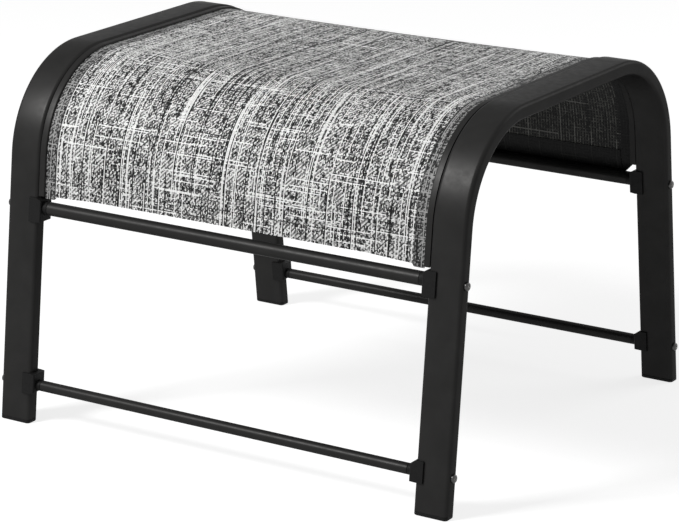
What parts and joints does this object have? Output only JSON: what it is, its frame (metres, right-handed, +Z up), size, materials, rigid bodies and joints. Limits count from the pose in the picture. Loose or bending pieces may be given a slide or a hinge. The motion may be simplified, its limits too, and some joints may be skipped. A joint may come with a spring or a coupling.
{
  "type": "outdoor ottoman footstool",
  "caption": "Low outdoor footstool: a woven mesh sling stretched between bent flat-tube side frames with splayed legs, tied by bolted round crossbars.",
  "frame": {"origin": "centre of the footprint, on the floor", "axes": "+X to the right, across the sling from one side frame to the other; front faces -Y; +Z up"},
  "size_m": [0.5258, 0.4684, 0.364],
  "materials": {
    "powder_coat": "satin black powder coat",
    "black_moulding": "fine matte texture",
    "spline_plastic": "smooth extruded",
    "zinc_steel": "bright zinc plate",
    "woven_mesh": "coated yarn, open weave, black, white and grey melange"
  },
  "bodies": {
    "root": {"left_side_frame": "powder_coat", "left_sling_rail": "powder_coat", "left_sling_spline": "spline_plastic", "right_side_frame": "powder_coat", "right_sling_rail": "powder_coat", "right_sling_spline": "spline_plastic", "sling": "woven_mesh", "front_upper_bar": "powder_coat", "front_lower_bar": "powder_coat", "rear_upper_bar": "powder_coat", "rear_lower_bar": "powder_coat", "front_left_upper_saddle": "black_moulding", "front_left_upper_bolt": "zinc_steel", "front_left_upper_insert": "zinc_steel", "front_left_lower_saddle": "black_moulding", "front_left_lower_bolt": "zinc_steel", "front_left_lower_insert": "zinc_steel", "front_left_foot_cap": "black_moulding", "front_right_upper_saddle": "black_moulding", "front_right_upper_bolt": "zinc_steel", "front_right_upper_insert": "zinc_steel", "front_right_lower_saddle": "black_moulding", "front_right_lower_bolt": "zinc_steel", "front_right_lower_insert": "zinc_steel", "front_right_foot_cap": "black_moulding", "rear_left_upper_saddle": "black_moulding", "rear_left_upper_bolt": "zinc_steel", "rear_left_upper_insert": "zinc_steel", "rear_left_lower_saddle": "black_moulding", "rear_left_lower_bolt": "zinc_steel", "rear_left_lower_insert": "zinc_steel", "rear_left_foot_cap": "black_moulding", "rear_right_upper_saddle": "black_moulding", "rear_right_upper_bolt": "zinc_steel", "rear_right_upper_insert": "zinc_steel", "rear_right_lower_saddle": "black_moulding", "rear_right_lower_bolt": "zinc_steel", "rear_right_lower_insert": "zinc_steel", "rear_right_foot_cap": "black_moulding"}
  },
  "joints": []
}
